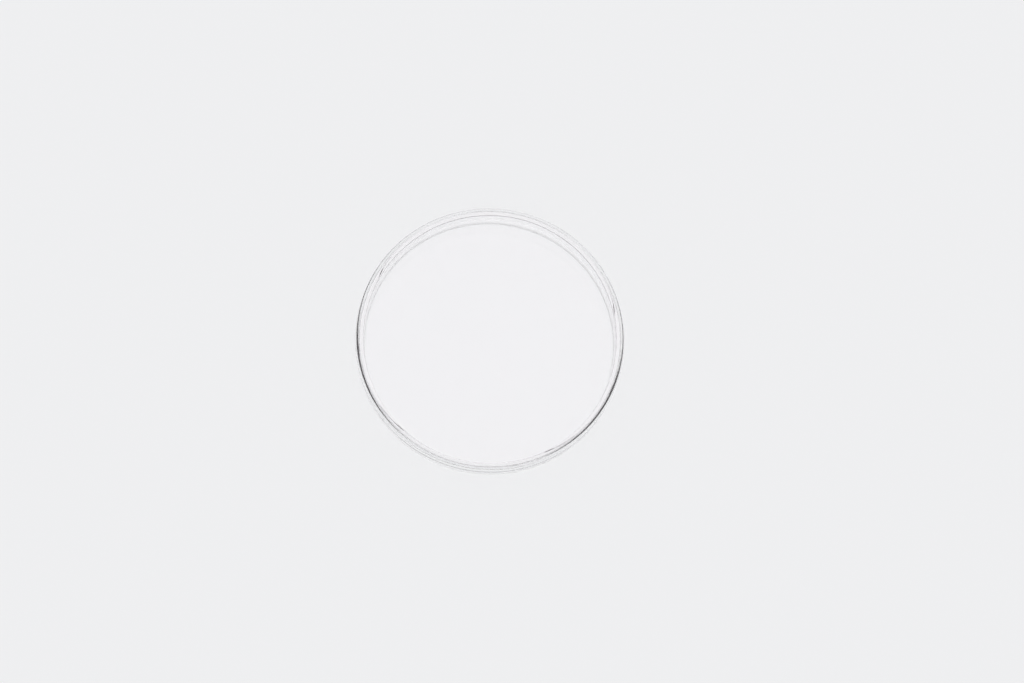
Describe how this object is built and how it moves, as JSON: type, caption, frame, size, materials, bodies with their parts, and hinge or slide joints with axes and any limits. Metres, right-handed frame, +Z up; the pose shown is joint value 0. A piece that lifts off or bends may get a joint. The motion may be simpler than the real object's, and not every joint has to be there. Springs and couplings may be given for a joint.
{
  "type": "culture dish",
  "caption": "Closed clear glass culture dish: a shallow round base with a flat floor, and a loose lid with rounded shoulders whose skirt drops over the base's wall.",
  "frame": {"origin": "centre of the base's underside, on the surface that the dish stands on", "axes": "+Z up along the dish's axis of rotation, the way the lid lifts; X and Y in the plane of the floor"},
  "size_m": [0.09, 0.09, 0.0134],
  "materials": {
    "base_glass": "polished",
    "lid_glass": "polished"
  },
  "bodies": {
    "base": {"dish_base": "base_glass"},
    "lid": {"dish_lid": "lid_glass"}
  },
  "joints": [
    {"name": "lid_lift", "type": "slide", "parent": "base", "child": "lid", "axis": [0, 0, 1], "range_m": [0, 0.035]}
  ]
}
